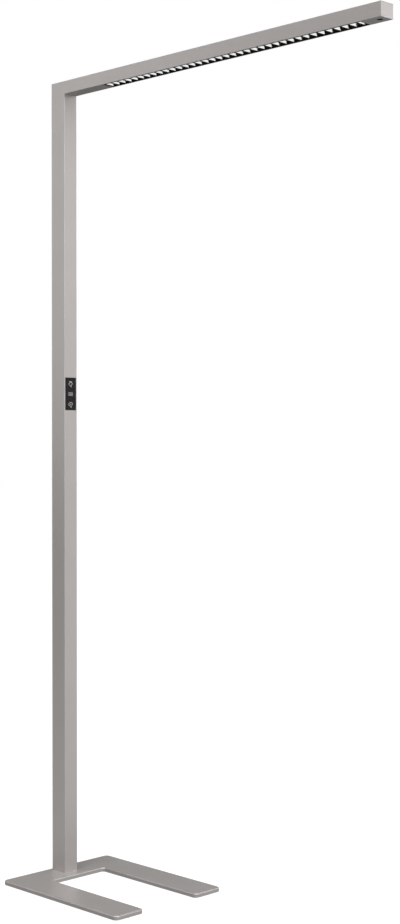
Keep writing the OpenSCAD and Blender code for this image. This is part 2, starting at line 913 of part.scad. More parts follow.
module uplight_leds() {
    color("gold") light_sources(up_board_top);
}

module uplight_diffuser() {
    half = arm_inner_y - 2 * fit_gap;
    color("white") {
        block(
            [louvre_start - diffuser_lap, -half, diffuser_bottom],
            [louvre_end + diffuser_lap, half, arm_ceiling]
        );
    }
}

module arm_terminal() {
    half = terminal_width / 2;
    screw_inset = 7;
    screw_well = 3;
    screw_well_d = 3;
    color("white") difference() {
        block([terminal_start, -half, tray_top], [terminal_end, half, tray_top + terminal_height]);
        for (side = [-1, 1], x = [terminal_start + screw_inset, terminal_end - screw_inset]) {
            translate([x, side * half / 2, tray_top + terminal_height - screw_well]) {
                cylinder(d = screw_well_d, h = screw_well + past);
            }
        }
    }
}

module board_leads() {
    color(black) {
        lead([[terminal_end, 0, board_lead_z], [board_lead_end, 0, board_lead_z]], board_lead_d, 0);
        lead(down_lead_route, board_lead_d, drop_bend);
    }
}

/* ---------- sensor ---------- */

module sensor_bezel() {
    seat = arm_bottom + lens_recess + sensor_lens_thickness;
    color(black) translate([sensor_x, 0, 0]) difference() {
        union() {
            translate([0, 0, arm_bottom]) cylinder(d = sensor_d, h = arm_wall);
            translate([0, 0, arm_floor]) cylinder(d = sensor_flange_d, h = sensor_flange);
            translate([0, 0, arm_floor]) cylinder(d = sensor_body_d, h = sensor_top - arm_floor);
        }
        translate([0, 0, arm_bottom - past]) {
            cylinder(d = sensor_lens_d + 2 * fit_gap, h = seat - arm_bottom + past);
        }
        translate([0, 0, seat - past]) {
            cylinder(d = sensor_lens_d - 2 * lens_seat, h = sensor_top - seat + 2 * past);
        }
    }
}

module sensor_lens() {
    color(black) translate([sensor_x, 0, arm_bottom + lens_recess]) {
        cylinder(d = sensor_lens_d, h = sensor_lens_thickness);
    }
}

module sensor_board() {
    half = ledge_y - 3 * fit_gap;
    low_x = sensor_x - sensor_board_length / 2 - sensor_board_shift;
    color("green") block([low_x, -half, sensor_top], [low_x + sensor_board_length, half, sensor_board_top]);
}

module sensor_lead() {
    color(black) lead(sensor_route, board_lead_d, sensor_lead_bend);
}

/* ---------- control panel ---------- */

module panel_fascia() {
    half_y = panel_width / 2;
    half_z = panel_height / 2;
    window_y = key_width / 2 + key_gap;
    window_z = key_height / 2 + key_gap;
    color(black) difference() {
        block([wall_x, -half_y, panel_z - half_z], [front_x, half_y, panel_z + half_z]);
        for (z = key_zs) {
            block([wall_x - past, -window_y, z - window_z], [front_x + past, window_y, z + window_z]);
        }
    }
}

module board_post_places() {
    for (sy = [-1, 1], sz = [-1, 1]) translate([0, sy * post_y, panel_z + sz * post_z]) children();
}

module panel_housing() {
    inner_half_y = housing_y - housing_wall;
    inner_half_z = housing_z - housing_wall;
    clip_height = 2;
    clip_thickness = 2;
    clip_half = 6;
    clip_root = 0.2;
    color(black) difference() {
        union() {
            difference() {
                block(
                    [housing_back, -housing_y, panel_z - housing_z],
                    [wall_x, housing_y, panel_z + housing_z]
                );
                block(
                    [housing_floor, -inner_half_y, panel_z - inner_half_z],
                    [wall_x + past, inner_half_y, panel_z + inner_half_z]
                );
            }
            board_post_places() x_cylinder(post_d, housing_floor - housing_wall / 2, control_board_back);
            for (side = [-1, 1]) {
                low = panel_z + side * (housing_z + clip_height / 2 - clip_root) - clip_height / 2;
                block(
                    [wall_x - clip_thickness, -clip_half, low],
                    [wall_x - fit_gap, clip_half, low + clip_height]
                );
            }
        }
        board_post_places() x_cylinder(board_screw_d + fit_gap, housing_floor, control_board_back + past);
        x_cylinder(
            control_lead_d + 1, housing_back - past, housing_floor + past,
            control_lead_y, control_lead_z
        );
    }
}

// One key: cap, retaining flange and the stem that presses its switch
module key(z) {
    color(black) translate([0, 0, z]) {
        block(
            [key_flange_front, -key_width / 2, -key_height / 2],
            [front_x + key_proud, key_width / 2, key_height / 2]
        );
        block(
            [key_flange_back, -key_flange_y, -key_height / 2],
            [key_flange_front, key_flange_y, key_height / 2]
        );
        x_cylinder(key_stem_d, plunger_front + fit_gap / 2, key_flange_back + key_flange / 2);
    }
}

module key_upper() {
    key(key_zs[0]);
}

module key_middle() {
    key(key_zs[1]);
}

module key_lower() {
    key(key_zs[2]);
}

module plunger(z) {
    color("white") x_cylinder(plunger_d, plunger_front - plunger_length, plunger_front, 0, z);
}

module plunger_upper() {
    plunger(key_zs[0]);
}

module plunger_middle() {
    plunger(key_zs[1]);
}

module plunger_lower() {
    plunger(key_zs[2]);
}

module control_board() {
    half_y = housing_y - housing_wall - 2 * fit_gap;
    half_z = housing_z - housing_wall - 2 * fit_gap;
    color("green") difference() {
        block(
            [control_board_back, -half_y, panel_z - half_z],
            [control_board_front, half_y, panel_z + half_z]
        );
        board_post_places() {
            x_cylinder(board_screw_d + 4 * fit_gap, control_board_back - past, control_board_front + past);
        }
    }
}

module control_switches() {
    half = switch_size / 2;
    well = plunger_length - plunger_rest + fit_gap;
    color("white") for (z = key_zs) {
        difference() {
            block([control_board_front, -half, z - half], [switch_front, half, z + half]);
            x_cylinder(plunger_d + 2 * fit_gap, switch_front - well, switch_front + past, 0, z);
        }
    }
}

module board_screws() {
    length = post_height + board_thickness - fit_gap;
    color(bright) board_post_places() translate([control_board_front, 0, 0]) pan_screw(board_screw_d, length);
}

/* ---------- driver and mains parts ---------- */

module driver_screw_places() {
    for (z = [driver_bottom - driver_tab / 2, driver_top + driver_tab / 2]) translate([tray_face_x, 0, z]) {
        children();
    }
}

module led_driver() {
    front = tray_face_x + driver_depth;
    tab_front = tray_face_x + driver_tab_thickness;
    color("white") difference() {
        union() {
            block([tray_face_x, -driver_width / 2, driver_bottom], [front, driver_width / 2, driver_top]);
            block(
                [tray_face_x, -driver_tab_half, driver_bottom - driver_tab],
                [tab_front, driver_tab_half, driver_top + driver_tab]
            );
        }
        driver_screw_places() x_cylinder(driver_screw_d + 2 * fit_gap, -past, driver_tab_thickness + past);
        for (side = [-1, 1]) driver_terminal_wells(side, front);
    }
}

// Wire entries in one end of the driver, with a release slot beside each on its front
module driver_terminal_wells(side, front) {
    poles = side > 0 ? 4 : 3;
    end_z = side > 0 ? driver_top : driver_bottom;
    slot_z = end_z - side * driver_slot_inset;
    entry_z = side > 0 ? end_z - driver_entry_depth : end_z - past;
    for (pole = [0 : poles - 1]) {
        y = (pole - (poles - 1) / 2) * driver_pole_gap;
        translate([front - driver_entry_inset, y, entry_z]) {
            cylinder(d = driver_entry_d, h = driver_entry_depth + past);
        }
        block(
            [front - driver_slot_depth, y - driver_slot_width / 2, slot_z - driver_slot_length / 2],
            [front + past, y + driver_slot_width / 2, slot_z + driver_slot_length / 2]
        );
    }
}

module driver_tray() {
    half = driver_tray_width / 2;
    foot_y = port_edge_y - 4 * fit_gap;
    tray_height_top = driver_top + driver_tab + tray_over;
    foot_front = port_edge_x - foot_gap;
    color(bright) difference() {
        union() {
            block([tray_back_x, -half, plate_top], [tray_face_x, half, tray_height_top]);
            block([tray_back_x, -foot_y, plate_top], [foot_front, foot_y, plate_top + driver_tray_thickness]);
        }
        x_cylinder(cord_passage_d, tray_back_x - past, tray_face_x + past, 0, bush_z);
        driver_screw_places() x_cylinder(driver_screw_d + 2 * fit_gap, -driver_tray_thickness - past, past);
        earth_screw_place() x_cylinder(driver_screw_d + 2 * fit_gap, -driver_tray_thickness - past, past);
        foot_screw_places() cylinder(d = foot_screw_d + 2 * fit_gap, h = plate_top + driver_tray_thickness);
    }
}

module driver_screws() {
    length = driver_tab_thickness + driver_tray_thickness + thread_reach;
    color(bright) driver_screw_places() {
        translate([driver_tab_thickness, 0, 0]) pan_screw(driver_screw_d, length);
    }
}

module tray_foot_screws() {
    color(bright) foot_screw_places() {
        countersunk_screw(foot_screw_d, sunk_head * foot_screw_d, foot_screw_length);
    }
}

module earth_screw_place() {
    translate([tray_face_x, earth_screw_y, driver_bottom - driver_tab - earth_screw_drop]) children();
}

module earth_screw() {
    color("gold") earth_screw_place() pan_screw(driver_screw_d, driver_tray_thickness + thread_reach);
}

module mains_terminal() {
    half = mains_width / 2;
    low = mains_top - mains_length;
    front = tray_face_x + mains_depth;
    pole_gap = mains_width / 3.3;
    screw_well_d = 4;
    screw_well = 3;
    entry_d = 3;
    entry_depth = 8;
    color("white") difference() {
        block([tray_face_x, -half, low], [front, half, mains_top]);
        for (pole = [-1, 0, 1]) {
            y = pole * pole_gap;
            x_cylinder(screw_well_d, front - screw_well, front + past, y, low + mains_length / 2);
            translate([tray_face_x + mains_depth / 2, y, low - past]) {
                cylinder(d = entry_d, h = entry_depth + past);
            }
        }
    }
}

module cable_bush() {
    outer_x = -column_x - bush_flange;
    inner_end = -inner_x + bush_flange;
    bush_lock = 3;
    color(black) difference() {
        union() {
            x_cylinder(bush_flange_d, outer_x, -column_x, 0, bush_z);
            x_cylinder(bush_hole_d - 2 * fit_gap, -column_x, -inner_x, 0, bush_z);
            x_cylinder(bush_hole_d + bush_lock, -inner_x, inner_end, 0, bush_z);
        }
        x_cylinder(bush_bore_d, outer_x - past, inner_end + past, 0, bush_z);
    }
}

/* ---------- leads ---------- */

module supply_lead() {
    color(black) lead([[0, 0, mains_top], [0, 0, driver_bottom]], supply_lead_d, 0);
}

module led_lead() {
    color(black) lead(led_route, led_lead_d, led_lead_bend);
}

module control_lead() {
    color(black) lead(control_route, control_lead_d, control_lead_bend);
}

base_plate();
glide_pads();
base_screws();
column_profile();
corner_bracket();
bracket_screws();
bracket_set_screws();
arm_profile();
end_cap();
gear_tray();
downlight_boards();
downlight_leds();
louvre_frame();
louvre_blades();
uplight_boards();
uplight_leds();
uplight_diffuser();
sensor_bezel();
sensor_lens();
sensor_board();
sensor_lead();
arm_terminal();
board_leads();
panel_fascia();
panel_housing();
key_upper();
key_middle();
key_lower();
plunger_upper();
plunger_middle();
plunger_lower();
control_board();
control_switches();
board_screws();
led_driver();
driver_tray();
driver_screws();
tray_foot_screws();
mains_terminal();
earth_screw();
cable_bush();
supply_lead();
led_lead();
control_lead();
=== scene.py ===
"""Office floor lamp: finishes, key signs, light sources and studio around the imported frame."""
import json
import math

import bmesh
import bpy
from mathutils import Matrix, Vector


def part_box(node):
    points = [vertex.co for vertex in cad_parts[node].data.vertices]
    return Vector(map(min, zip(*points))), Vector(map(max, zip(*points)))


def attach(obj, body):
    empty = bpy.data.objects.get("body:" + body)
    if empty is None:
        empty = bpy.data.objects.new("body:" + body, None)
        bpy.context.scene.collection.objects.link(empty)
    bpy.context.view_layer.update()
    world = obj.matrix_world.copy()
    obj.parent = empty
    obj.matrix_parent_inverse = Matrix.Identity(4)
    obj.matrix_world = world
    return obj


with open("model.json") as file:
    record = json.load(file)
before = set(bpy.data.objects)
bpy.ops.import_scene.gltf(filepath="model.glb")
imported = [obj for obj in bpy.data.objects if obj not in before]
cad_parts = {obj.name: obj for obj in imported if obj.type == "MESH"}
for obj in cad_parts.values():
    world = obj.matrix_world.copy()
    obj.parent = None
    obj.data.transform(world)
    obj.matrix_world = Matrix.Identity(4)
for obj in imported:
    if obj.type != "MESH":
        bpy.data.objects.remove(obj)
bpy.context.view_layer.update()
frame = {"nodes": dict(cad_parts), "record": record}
MM = 0.001

# Camera: the photograph's viewpoint, fitted to the lamp's corners. Metres and radians, and
# millimetres for the lens and the sensor
CAMERA_PLACE = Vector((3.0670, -2.5458, 1.0973))
CAMERA_YAW = -0.7918
CAMERA_PITCH = -0.0128
CAMERA_LENS = 61.17
CAMERA_SENSOR = 36.0
CAMERA_REACH = 100.0

# Finishes, as linear colours
COAT = (0.459, 0.430, 0.418)
MOULDED_BLACK = (0.0035, 0.0035, 0.0038)
PANEL_BLACK = (0.0085, 0.0085, 0.0090)
SIGN_GREY = (0.38, 0.38, 0.37)
BLADE_BRIGHT = (0.93, 0.93, 0.92)
SHEET_METAL = (0.62, 0.62, 0.60)
CAST_METAL = (0.50, 0.50, 0.49)
SCREW_STEEL = (0.42, 0.42, 0.41)
RUBBER_BLACK = (0.022, 0.022, 0.022)
SHEATH_BLACK = (0.030, 0.030, 0.031)
BOARD_WHITE = (0.74, 0.74, 0.70)
BOARD_GREEN = (0.020, 0.120, 0.045)
PHOSPHOR = (0.80, 0.56, 0.10)
OPAL = (0.80, 0.80, 0.78)
WINDOW_BLACK = (0.004, 0.004, 0.005)
CASE_WHITE = (0.66, 0.66, 0.63)
TERMINAL_IVORY = (0.62, 0.60, 0.52)
PLUNGER_WHITE = (0.60, 0.60, 0.56)
SWITCH_BLACK = (0.020, 0.020, 0.020)
BRASS = (0.58, 0.40, 0.13)

# Clear domes on the light sources in the arm
CELL_PITCH = 22.0 * MM
DOME_RADIUS = 1.35 * MM
DOME_FLATNESS = 0.45
DOME_SEGMENTS = 12
DOME_RINGS = 6

# Key signs: flat strokes. Each stands in front of the one before it by a share of the thickness
SIGN_THICKNESS = 0.06 * MM
STROKE_LIFT = 0.1
STROKE = 1.7 * MM
STROKE_END_STEPS = 6
# A lamp bulb: an oval from one open end to the other, in degrees, over the bars of its cap
BULB_LEAN = math.radians(14)
BULB_OPEN_ENDS = (248, -68)
BULB_STEPS = 26
CAP_GAP = 1.9 * MM
CAP_PITCH = 2.0 * MM
CAP_HALF_WIDTHS = (1.5 * MM, 0.9 * MM)
# Bulbs as centre and half axes, and bars as start, end, height and stroke, from the key's middle
UP_BULB = (Vector((-0.4 * MM, -1.3 * MM)), Vector((5.6 * MM, 3.3 * MM)))
UP_BAR = (-4.2 * MM, 3.4 * MM, 4.2 * MM, 1.25 * STROKE)
DOWN_BULB = (Vector((-0.4 * MM, 0.8 * MM)), Vector((6.1 * MM, 4.2 * MM)))
DOWN_DOT = (-0.9 * MM, 0.1 * MM, 0.4 * MM, 1.4 * STROKE)
STEADY_BARS = (
    (-7.0 * MM, 6.4 * MM, 3.2 * MM, 1.3 * MM),
    (-7.0 * MM, 6.4 * MM, -0.4 * MM, 2.3 * MM),
    (-7.0 * MM, 6.4 * MM, -4.0 * MM, 1.2 * MM),
)

# Studio: the world's even light, the matt floor under it, and the white that the camera sees
WORLD_LEVEL = 0.15
FLOOR_DIFFUSE = 0.18
FLOOR_REACH = 30.0
WORLD_SEEN = 1.0
FLOOR_SEEN = 0.97
# Gloss sees that white too, but dimmer away from the bright side, and the level fades in between
BRIGHT_SIDE = (0.93, -0.36, 0.0)
WORLD_BRIGHT = 1.0
WORLD_DIM = 0.09
WORLD_FADE = (-1.0, 0.4)
FLOOR_BRIGHT = 0.9
FLOOR_DIM = 0.03
FLOOR_FADE = (-7.0, 3.0)
# On the floor it is also dimmer round the foot, up to a radius at which that shade has gone
FOOT_CENTRE = (0.18, 0.0, 0.0)
FOOT_SHADE_LEVEL = 0.43
FOOT_SHADE = (0.30, 0.45)

# Each lamp's place, aim, size and power, in metres and watts
LAMPS = {
    "right_back": ((4.4, 7.0, 3.4), (0.8, 0.0, 1.9), (1.6, 1.6), 72.0),
    "right_side": ((8.0, 0.2, 3.6), (0.2, 0.0, 1.2), (2.6, 5.0), 385.0),
    "top": ((1.6, -1.4, 12.0), (0.3, -0.1, 0.0), (6.0, 6.0), 805.0),
    "left": ((-6.1, -5.1, 2.9), (0.0, 0.0, 1.3), (2.5, 4.0), 41.0),
    "front": ((0.9, -4.2, 3.4), (0.3, 0.0, 1.7), (2.0, 2.0), 72.0),
}


class Shade:
    """A socket of a material's node tree, with arithmetic that adds Math nodes."""

    def __init__(self, tree, socket):
        self.tree = tree
        self.socket = socket

    def math(self, operation, other, swap=False):
        """This shade and another value in a Math node; swap puts the other value first."""
        node = self.tree.nodes.new("ShaderNodeMath")
        node.operation = operation
        for slot, value in zip(node.inputs, (other, self) if swap else (self, other)):
            feed(self.tree, slot, value)
        return Shade(self.tree, node.outputs[0])

    def __add__(self, other):
        return self.math("ADD", other)

    def __sub__(self, other):
        return self.math("SUBTRACT", other)

    def __mul__(self, other):
        return self.math("MULTIPLY", other)

    def __rsub__(self, other):
        return self.math("SUBTRACT", other, swap=True)

    __radd__ = __add__
    __rmul__ = __mul__


def feed(tree, socket, value):
    """Gives a socket a link where the value is a shade, and otherwise the plain value."""
    if isinstance(value, Shade):
        tree.links.new(value.socket, socket)
    elif isinstance(value, tuple) and len(value) == 3 and socket.type == "RGBA":
        socket.default_value = (*value, 1.0)
    else:
        socket.default_value = value


class Finish:
    """One material: its tree, its surface shader and the nodes that feed it."""

    def __init__(self, name, **surface):
        self.material = bpy.data.materials.new(name)
        self.material.use_nodes = True
        self.tree = self.material.node_tree
        self.tree.nodes.clear()
        self.output = self.tree.nodes.new("ShaderNodeOutputMaterial")
        self.surface = self.tree.nodes.new("ShaderNodeBsdfPrincipled")
        self.tree.links.new(self.surface.outputs[0], self.output.inputs["Surface"])
        self.set(**surface)

    def set(self, **surface):
        """Sets or links inputs of the surface shader, with _ for a space in their names."""
        for name, value in surface.items():
            feed(self.tree, self.surface.inputs[name.replace("_", " ")], value)

    def node(self, kind, settings=None, output=0, **values):
        """A node of that kind, with its settings first and then its sockets' values or links."""
        node = self.tree.nodes.new(kind)
        for name, value in (settings or {}).items():
            setattr(node, name, value)
        for name, value in values.items():
            feed(self.tree, node.inputs[name.replace("_", " ")], value)
        return Shade(self.tree, node.outputs[output])

    def place(self, scale=(1.0, 1.0, 1.0)):
        """The surface's own coordinates in metres, stretched by the scale."""
        where = self.node("ShaderNodeTexCoord", output="Object")
        return self.node("ShaderNodeMapping", Vector=where, Scale=scale)

    def noise(self, size, detail, scale=(1.0, 1.0, 1.0)):
        """Noise from 0 to 1 whose grains are about that many metres."""
        where = self.place(scale)
        return self.node("ShaderNodeTexNoise", Vector=where, Scale=1.0 / size, Detail=detail)

    def blend(self, share, first, second):
        """A colour between two, by the share."""
        mix = self.tree.nodes.new("ShaderNodeMix")
        mix.data_type = "RGBA"
        feed(self.tree, mix.inputs["Factor"], share)
        feed(self.tree, mix.inputs["A"], first)
        feed(self.tree, mix.inputs["B"], second)
        colour = [s for s in mix.outputs if s.type == "RGBA"][0]
        return Shade(self.tree, colour)

    def tone(self, share, colour, low, high):
        """Base colour that goes with the share from one strength of a colour to another."""
        self.set(Base_Color=self.blend(share, strength_of(colour, low), strength_of(colour, high)))

    def roughen(self, share, low, high):
        """Roughness that goes with the share from low to high."""
        self.set(Roughness=low + share * (high - low))

    def bump(self, height, depth):
        """A normal from a height of 0 to 1 that stands for that many metres."""
        self.set(Normal=self.node("ShaderNodeBump", Height=height, Distance=depth, Strength=1.0))


def strength_of(colour, factor):
    """A lighter or darker colour, at most full strength."""
    return tuple(min(1.0, channel * factor) for channel in colour)


def grained(
    name, colour, size, detail, tone, roughness, depth=None, scale=(1.0, 1.0, 1.0), **surface
):
    """A finish whose colour, roughness and height all follow one noise of that grain size.

    Tone and roughness are each the value at the noise's low end and at its high end.
    """
    finish = Finish(name, **surface)
    grain = finish.noise(size, detail, scale)
    finish.tone(grain, colour, *tone)
    finish.roughen(grain, *roughness)
    if depth:
        finish.bump(grain, depth)
    return finish.material


def powder_coat():
    """Silver-grey powder coat: fine grain, faint cloudiness, low sheen."""
    finish = Finish("silver_grey_powder_coat", Metallic=0.35, IOR=1.5)
    grain = finish.noise(0.45 * MM, detail=3.0)
    cloud = finish.noise(60 * MM, detail=1.0)
    grain_share = 0.6
    finish.tone(grain * grain_share + cloud * (1 - grain_share), COAT, low=0.93, high=1.07)
    finish.roughen(grain, low=0.28, high=0.38)
    finish.bump(grain, depth=0.012 * MM)
    return finish.material


def moulded_plastic(name, colour, roughness, size, depth, ior=1.5):
    """Moulded plastic with an eroded texture. A low index makes it very matt."""
    spread = 0.06
    return grained(
        name,
        colour,
        size,
        detail=3.0,
        tone=(0.85, 1.18),
        roughness=(roughness - spread, roughness + spread),
        depth=depth,
        IOR=ior,
    )


def brushed_metal(name, colour, roughness):
    """Metal with fine lines along X, made by noise that is stretched that way."""
    spread = 0.08
    return grained(
        name,
        colour,
        size=0.35 * MM,
        detail=4.0,
        tone=(0.88, 1.1),
        roughness=(roughness - spread, roughness + spread),
        depth=0.004 * MM,
        scale=(0.04, 1.0, 1.0),
        Metallic=1.0,
    )


def blade_metal():
    """Bright vapour-coated reflector: nearly a mirror, with a faint haze."""
    return grained(
        "bright_reflector_coat",
        BLADE_BRIGHT,
        size=4 * MM,
        detail=2.0,
        tone=(0.96, 1.04),
        roughness=(0.16, 0.24),
        Metallic=1.0,
    )


def cast_metal():
    """Die-cast corner: coarse matt skin."""
    return grained(
        "cast_corner_skin",
        CAST_METAL,
        size=1.2 * MM,
        detail=4.0,
        tone=(0.85, 1.1),
        roughness=(0.48, 0.64),
        depth=0.03 * MM,
        Metallic=1.0,
    )


def rubber(name, colour):
    """Dull rubber with a dusty bloom."""
    finish = Finish(name, IOR=1.5)
    bloom = finish.noise(9 * MM, detail=5.0)
    fine = finish.noise(0.6 * MM, detail=2.0)
    finish.tone(bloom, colour, low=1.0, high=1.7)
    finish.roughen(fine, low=0.72, high=0.88)
    finish.bump(fine, depth=0.02 * MM)
    return finish.material


def circuit_board(name, colour, track_strength):
    """Solder resist over tracks: soft rectangles of a second tone."""
    finish = Finish(name, IOR=1.5)
    tracks = finish.node(
        "ShaderNodeTexBrick",
        output="Fac",
        Vector=finish.place(),
        Scale=1.0,
        Mortar_Size=0.25 * MM,
        Brick_Width=7 * MM,
        Row_Height=2.2 * MM,
    )
    speck = finish.noise(0.8 * MM, detail=2.0)
    finish.tone(tracks, colour, low=1.0, high=track_strength)
    finish.roughen(speck, low=0.30, high=0.44)
    finish.bump(tracks, depth=0.02 * MM)
    return finish.material


def phosphor():
    """Yellow phosphor under clear silicone."""
    return grained(
        "light_source_phosphor",
        PHOSPHOR,
        size=0.25 * MM,
        detail=2.0,
        tone=(0.85, 1.1),
        roughness=(0.16, 0.24),
        IOR=1.42,
        Coat_Weight=0.6,
    )


def opal_sheet():
    """Opal diffuser with a fine satin texture."""
    finish = Finish("opal_diffuser", IOR=1.49)
    satin = finish.noise(0.5 * MM, detail=2.0)
    cloud = finish.noise(80 * MM, detail=1.0)
    finish.tone(cloud, OPAL, low=0.97, high=1.0)
    finish.roughen(satin, low=0.34, high=0.46)
    finish.bump(satin, depth=0.01 * MM)
    return finish.material


def sensor_window():
    """Dark matt window over the sensor, with the faint rings of its lens."""
    finish = Finish("sensor_window_dark", IOR=1.14)
    low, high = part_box("sensor_lens")
    centre = (low + high) / 2
    where = finish.node("ShaderNodeTexCoord", output="Object")
    from_centre = (-centre.x, -centre.y, -centre.z)
    ring_size = 7 * MM
    rings = finish.node(
        "ShaderNodeTexWave",
        {"wave_type": "RINGS", "rings_direction": "Z"},
        output="Fac",
        Vector=finish.node("ShaderNodeMapping", Vector=where, Location=from_centre),
        Scale=1.0 / ring_size,
    )
    finish.tone(rings, WINDOW_BLACK, low=1.0, high=2.2)
    finish.roughen(rings, low=0.42, high=0.52)
    finish.bump(rings, depth=0.02 * MM)
    return finish.material


def panel_skin():
    """Satin black skin of the fascia and the keys, with a little wear where fingers touch."""
    finish = Finish("satin_black_panel", IOR=1.24)
    grain = finish.noise(0.3 * MM, detail=2.0)
    touch = finish.noise(14 * MM, detail=2.0)
    smoothest = 0.36
    from_touch = 0.10
    from_grain = 0.05
    finish.tone(touch, PANEL_BLACK, low=0.8, high=1.3)
    finish.set(Roughness=smoothest + touch * from_touch + grain * from_grain)
    finish.bump(grain, depth=0.004 * MM)
    return finish.material


def sign_print():
    """Light grey print of the key signs."""
    return grained(
        "light_grey_sign_print",
        SIGN_GREY,
        size=0.4 * MM,
        detail=2.0,
        tone=(0.92, 1.06),
        roughness=(0.42, 0.52),
        IOR=1.5,
    )


def brass_screw():
    """Brass with a little tarnish."""
    return grained(
        "earth_screw_brass",
        BRASS,
        size=2.5 * MM,
        detail=4.0,
        tone=(1.0, 0.7),
        roughness=(0.28, 0.48),
        Metallic=1.0,
    )


def finishes():
    """Every CAD node's material, by the record's slot."""
    coat = powder_coat()
    return {
        "steel_coat": coat,
        "aluminium_coat": coat,
        "pad_rubber": rubber("pad_rubber", RUBBER_BLACK),
        "screw_steel": brushed_metal("zinc_plated_screw", SCREW_STEEL, roughness=0.34),
        "bracket_metal": cast_metal(),
        "tray_sheet": brushed_metal("rolled_tray_sheet", SHEET_METAL, roughness=0.36),
        "frame_black": moulded_plastic(
            "matt_black_moulding",
            MOULDED_BLACK,
            roughness=0.62,
            size=0.5 * MM,
            depth=0.015 * MM,
            ior=1.14,
        ),
        "blade_bright": blade_metal(),
        "light_board": circuit_board("white_light_board", BOARD_WHITE, track_strength=0.93),
        "light_source": phosphor(),
        "opal_sheet": opal_sheet(),
        "dark_window": sensor_window(),
        "panel_black": panel_skin(),
        "plunger_white": moulded_plastic(
            "plunger_nylon", PLUNGER_WHITE, roughness=0.45, size=0.6 * MM, depth=0.01 * MM
        ),
        "circuit_board": circuit_board("green_circuit_board", BOARD_GREEN, track_strength=1.6),
        "switch_body": moulded_plastic(
            "switch_body_black", SWITCH_BLACK, roughness=0.5, size=0.5 * MM, depth=0.01 * MM
        ),
        "driver_case": moulded_plastic(
            "driver_case_white", CASE_WHITE, roughness=0.5, size=0.7 * MM, depth=0.02 * MM
        ),
        "terminal_plastic": moulded_plastic(
            "terminal_ivory", TERMINAL_IVORY, roughness=0.42, size=0.7 * MM, depth=0.01 * MM
        ),
        "earth_brass": brass_screw(),
        "lead_sheath": rubber("lead_sheath", SHEATH_BLACK),
    }


def dress_nodes(by_slot):
    """Gives every CAD node the finish of its slot."""
    for part in frame["record"]["subparts"]:
        mesh = frame["nodes"][part["node"]].data
        mesh.materials.clear()
        mesh.materials.append(by_slot[part["material_slot"]])


def mesh_object(name, mesh):
    """A new object in the scene with that mesh."""
    piece = bpy.data.objects.new(name, mesh)
    bpy.context.scene.collection.objects.link(piece)
    return piece


# ---------- key signs ----------


def stroke_outline(path, width):
    """Outline of a stroke of that width along a path in the sign's plane, with round ends."""
    half = width / 2
    left = []
    right = []
    for i, point in enumerate(path):
        before = path[max(i - 1, 0)]
        after = path[min(i + 1, len(path) - 1)]
        way = (after - before).normalized()
        side = Vector((-way.y, way.x)) * half
        left.append(point + side)
        right.append(point - side)
    far_end = round_end(path[-1], path[-1] - path[-2], half)
    near_end = round_end(path[0], path[0] - path[1], half)
    return left + far_end + right[::-1] + near_end


def round_end(point, way, half):
    """Points on the half circle that ends a stroke which arrives that way."""
    start = math.atan2(way.y, way.x) + math.pi / 2
    steps = STROKE_END_STEPS
    turns = [start - math.pi * (i + 1) / (steps + 1) for i in range(steps)]
    return [point + Vector((math.cos(t), math.sin(t))) * half for t in turns]


def open_oval(half_axes):
    """Points on the bulb's oval about the middle, from one open end to the other."""
    start, end = BULB_OPEN_ENDS
    steps = BULB_STEPS
    turns = [math.radians(start + (end - start) * i / steps) for i in range(steps + 1)]
    return [Vector((math.cos(t) * half_axes.x, math.sin(t) * half_axes.y)) for t in turns]


def bar(start, end, height):
    """Points along a level line."""
    return [Vector((x, height)) for x in (start, (start + end) / 2, end)]


def bar_stroke(start, end, height, width):
    """A level bar as a path with its width."""
    return bar(start, end, height), width


def bulb_strokes(centre, half_axes):
    """A leaning lamp bulb: an oval that is open below, and the short bars of its cap under it."""
    paths = [open_oval(half_axes)]
    for i, half_width in enumerate(CAP_HALF_WIDTHS):
        paths.append(bar(-half_width, half_width, -half_axes.y - CAP_GAP - i * CAP_PITCH))
    lean = Matrix.Rotation(BULB_LEAN, 2)
    return [([centre + lean @ point for point in path], STROKE) for path in paths]


def up_sign():
    """The bulb with a bar above it: light upwards."""
    return bulb_strokes(*UP_BULB) + [bar_stroke(*UP_BAR)]


def down_sign():
    """The bulb with a dot in it: light downwards."""
    return bulb_strokes(*DOWN_BULB) + [bar_stroke(*DOWN_DOT)]


def steady_sign():
    """Three level bars, the middle one broader."""
    return [bar_stroke(*row) for row in STEADY_BARS]


def key_sign(name, strokes, key, body, print_finish):
    """A thin printed sign on a key's face: the sign's x runs along +Y, its y along +Z."""
    low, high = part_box(key)
    centre = (low + high) / 2
    mesh = bpy.data.meshes.new(name)
    shape = bmesh.new()
    for level, (path, width) in enumerate(strokes):
        outline = stroke_outline(path, width)
        face_x = high.x + SIGN_THICKNESS * STROKE_LIFT * (level + 1)
        ring = [shape.verts.new((face_x, centre.y + p.x, centre.z + p.y)) for p in outline]
        face = shape.faces.new(ring)
        grown = bmesh.ops.extrude_face_region(shape, geom=[face])
        back = [v for v in grown["geom"] if isinstance(v, bmesh.types.BMVert)]
        bmesh.ops.translate(shape, verts=back, vec=(-SIGN_THICKNESS, 0, 0))
    bmesh.ops.recalc_face_normals(shape, faces=shape.faces)
    bmesh.ops.triangulate(shape, faces=shape.faces)
    shape.to_mesh(mesh)
    shape.free()
    mesh.materials.append(print_finish)
    sign = mesh_object(name, mesh)
    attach(sign, body)


# ---------- repeated light sources ----------


